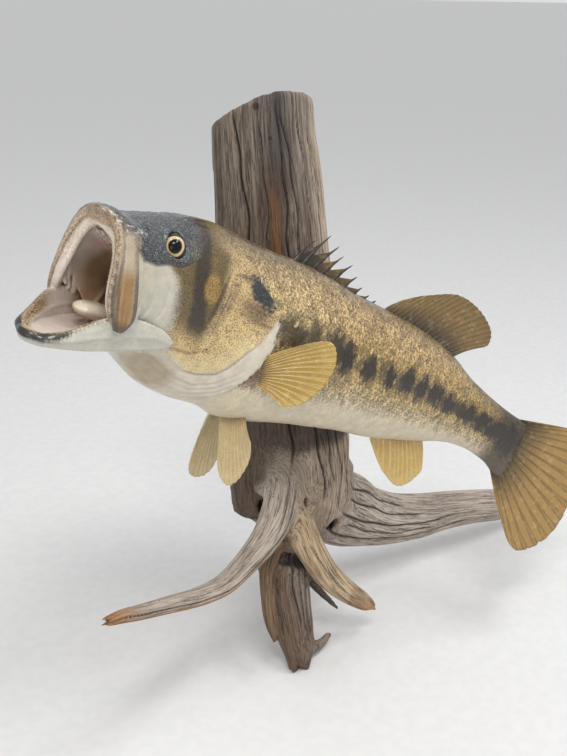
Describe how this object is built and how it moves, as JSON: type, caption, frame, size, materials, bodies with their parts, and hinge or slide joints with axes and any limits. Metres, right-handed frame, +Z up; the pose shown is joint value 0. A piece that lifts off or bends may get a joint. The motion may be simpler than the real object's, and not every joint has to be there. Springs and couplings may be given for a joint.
{
  "type": "mounted fish",
  "caption": "Life-size largemouth bass with an open mouth and a bent body, fixed by its far side to a flat-backed driftwood log with spreading roots for hanging on a wall.",
  "frame": {"origin": "on the log's flat back, at the wall, behind the middle of the fish", "axes": "+Z up, +Y into the wall, +X along the wall towards the fish's tail; millimetre source, metre row; the viewer stands on the -Y side"},
  "size_m": [0.6958, 0.2576, 0.5659],
  "materials": {
    "dark_back": "gloss clear coat over painted skin",
    "head_skin": "gloss clear coat over painted skin",
    "flank": "gloss clear coat over painted skin",
    "jaw": "gloss clear coat over painted skin",
    "pale_skin": "gloss clear coat over painted skin",
    "gill_gold": "gloss clear coat over painted skin",
    "fin_amber": "gloss clear coat over painted skin",
    "fin_dark": "gloss clear coat over painted skin",
    "fin_pale": "gloss clear coat over painted skin",
    "eye_glass": "polished",
    "tongue_cream": "gloss clear coat over painted skin",
    "weathered_wood": "matte weathered",
    "root_wood": "matte weathered"
  },
  "bodies": {
    "root": {"head": "head_skin", "trunk": "flank", "tail_stalk": "dark_back", "upper_jaw": "jaw", "lower_jaw": "pale_skin", "tongue": "tongue_cream", "eye_left": "eye_glass", "eye_right": "eye_glass", "gill_cover_left": "gill_gold", "gill_cover_right": "gill_gold", "fin_dorsal_spiny": "fin_dark", "fin_dorsal_soft": "fin_dark", "fin_anal": "fin_pale", "fin_tail": "fin_amber", "fin_pectoral_left": "fin_amber", "fin_pectoral_right": "fin_amber", "fin_pelvic_left": "fin_pale", "fin_pelvic_right": "fin_pale", "log": "weathered_wood", "root_right": "root_wood", "root_foot": "root_wood", "root_left": "root_wood", "root_front": "root_wood", "root_thin": "root_wood"}
  },
  "joints": []
}
